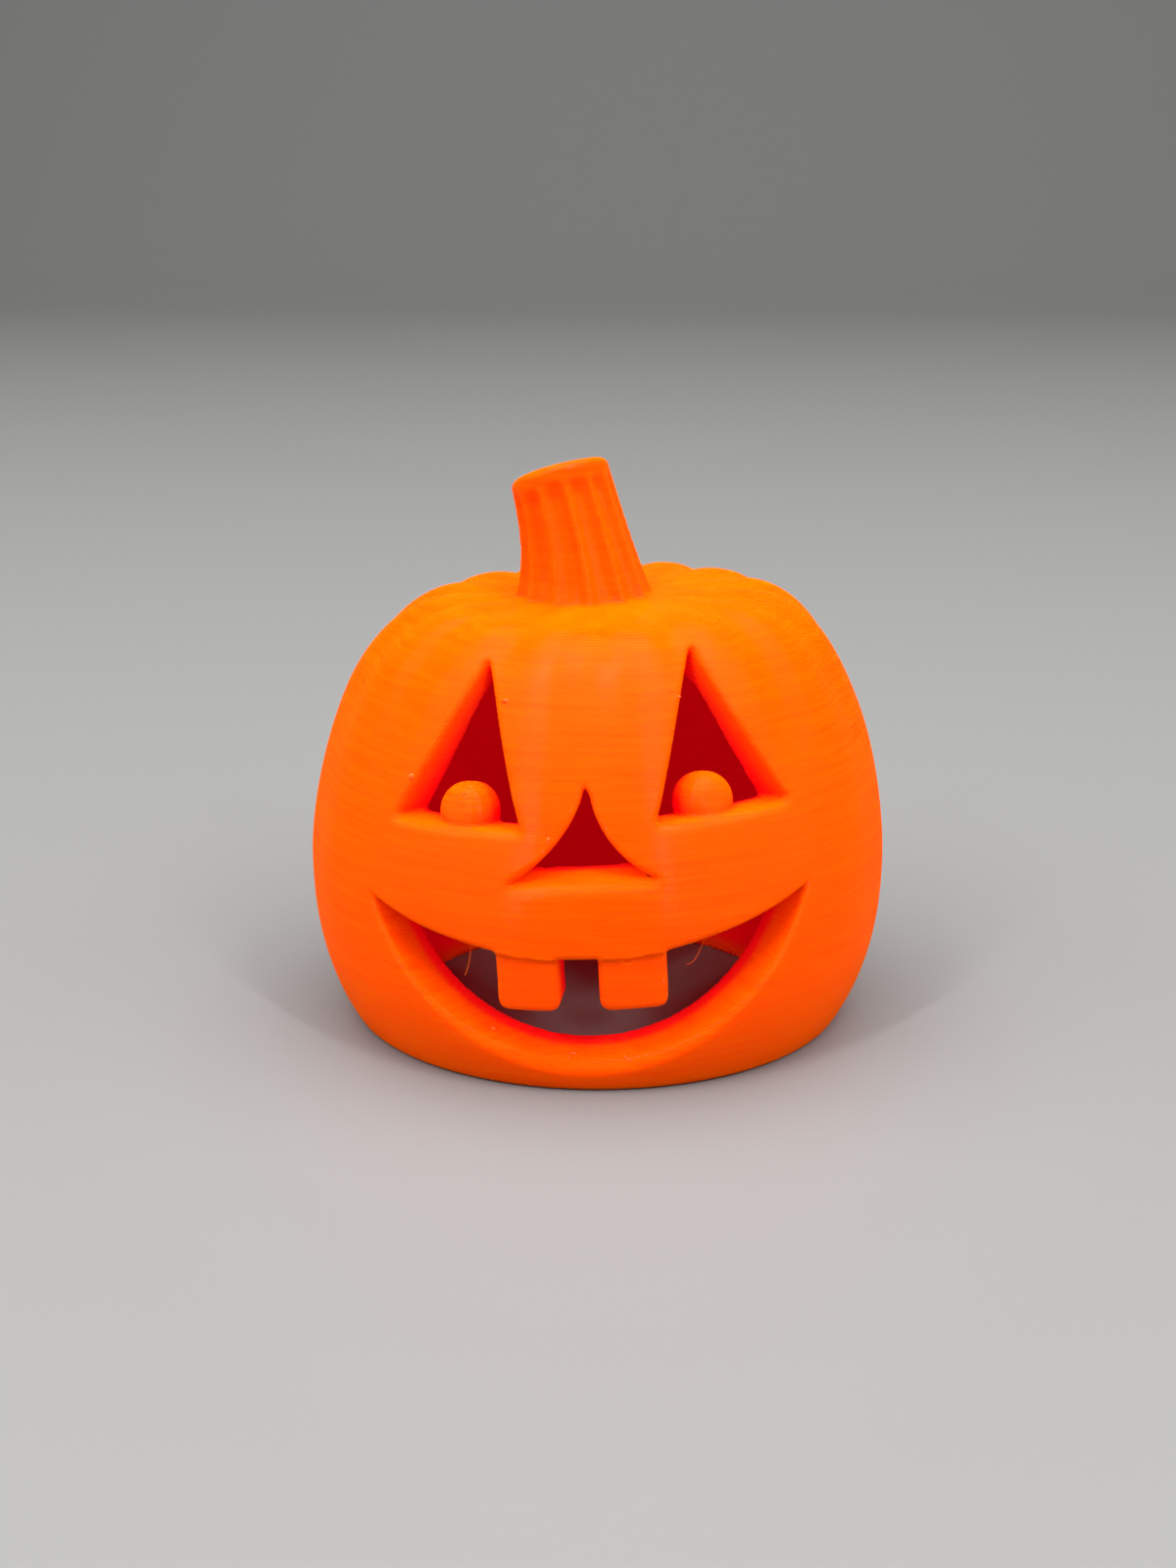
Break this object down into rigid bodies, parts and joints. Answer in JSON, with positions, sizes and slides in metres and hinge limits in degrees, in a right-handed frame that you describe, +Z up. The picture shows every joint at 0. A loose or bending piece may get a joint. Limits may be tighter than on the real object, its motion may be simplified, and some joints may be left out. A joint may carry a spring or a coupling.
{
  "type": "carved pumpkin lantern",
  "caption": "Small hollow orange plastic jack-o'-lantern with a ribbed body, carved smiling face, fluted stem and open foot.",
  "frame": {"origin": "centre of the bounding box's underside, on the surface that the foot stands on", "axes": "+Z up, the carved face looks along -Y, +X is to the right of the face as seen by someone facing it"},
  "size_m": [0.064, 0.0638, 0.0624],
  "materials": {
    "orange_plastic": "satin, with fine horizontal layer lines"
  },
  "bodies": {
    "root": {"pumpkin_lantern": "orange_plastic"}
  },
  "joints": []
}
